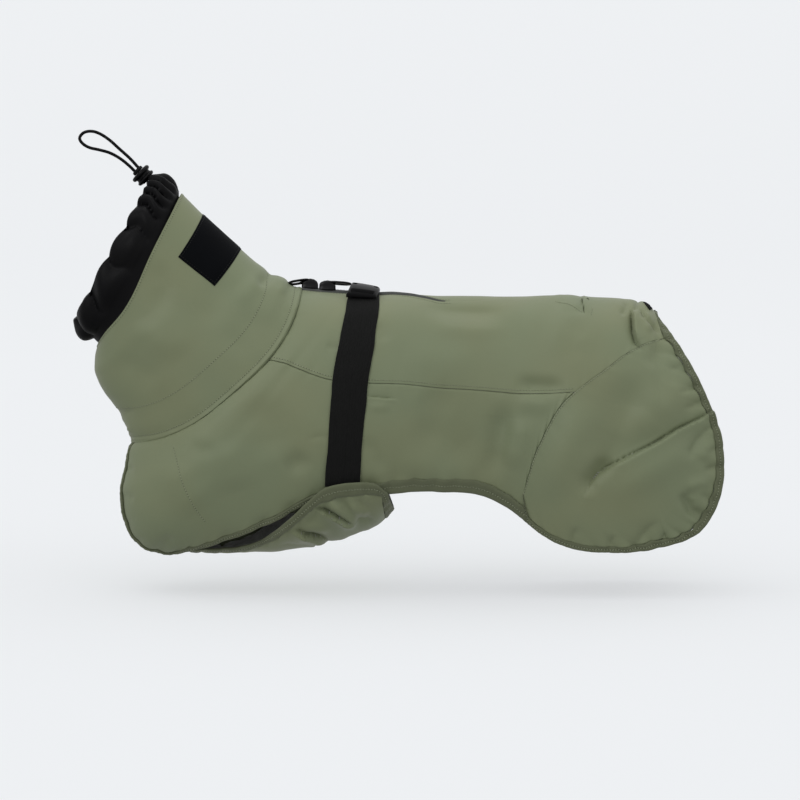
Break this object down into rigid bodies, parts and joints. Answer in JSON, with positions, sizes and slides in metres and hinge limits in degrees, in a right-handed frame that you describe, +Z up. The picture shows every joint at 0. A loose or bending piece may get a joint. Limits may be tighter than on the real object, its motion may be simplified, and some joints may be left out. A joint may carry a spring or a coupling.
{
  "type": "dog raincoat",
  "caption": "Filled-out dog raincoat with a tall collar, gathered drawcord gaiter, back zip, round haunch flaps and a belly sling on an elastic strap.",
  "frame": {"origin": "on the inner face of the back, in the middle, under the belly strap", "axes": "-X towards the dog's head, +X towards its tail, -Y to its left side, +Z up"},
  "size_m": [0.6505, 0.1708, 0.4246],
  "materials": {
    "coat_cloth": "matte sage green rain softshell",
    "binding_cloth": "matte olive bias binding, gathered on elastic",
    "gaiter_cloth": "soft black stretch cloth",
    "strap_webbing": "black ribbed elastic webbing",
    "black_plastic": "satin black",
    "zip_tape_cloth": "dark grey woven tape with a closed coil",
    "painted_zip": "black paint",
    "drawcord_braid": "black braided elastic cord",
    "woven_patch": "plain black woven label"
  },
  "bodies": {
    "coat": {"back_yoke": "coat_cloth", "side_panel_left": "coat_cloth", "side_panel_right": "coat_cloth", "haunch_panel_left": "coat_cloth", "haunch_panel_right": "coat_cloth", "collar": "coat_cloth", "chest_belly_panel": "coat_cloth", "hem_binding_left": "binding_cloth", "hem_binding_right": "binding_cloth", "haunch_binding_left": "binding_cloth", "haunch_binding_right": "binding_cloth", "belly_binding": "binding_cloth", "neck_gaiter": "gaiter_cloth", "strap_left": "strap_webbing", "strap_right": "strap_webbing", "tail_elastic": "strap_webbing", "buckle_socket": "black_plastic", "buckle_plug": "black_plastic", "cord_lock": "black_plastic", "cord_lock_button": "black_plastic", "zip_tape": "zip_tape_cloth", "zip_slider_front": "painted_zip", "zip_slider_rear": "painted_zip", "drawcord": "drawcord_braid", "label_patch": "woven_patch"},
    "pull_front": {"zip_pull_front": "painted_zip"},
    "pull_rear": {"zip_pull_rear": "painted_zip"}
  },
  "joints": [
    {"name": "front_pull_swing", "type": "hinge", "parent": "coat", "child": "pull_front", "pos_m": [-0.053, 0, 0.01608], "axis": [0, 1, 0], "range_deg": [0, 100]},
    {"name": "rear_pull_swing", "type": "hinge", "parent": "coat", "child": "pull_rear", "pos_m": [-0.0355, 0, 0.01402], "axis": [0, -1, 0], "range_deg": [0, 100]}
  ]
}
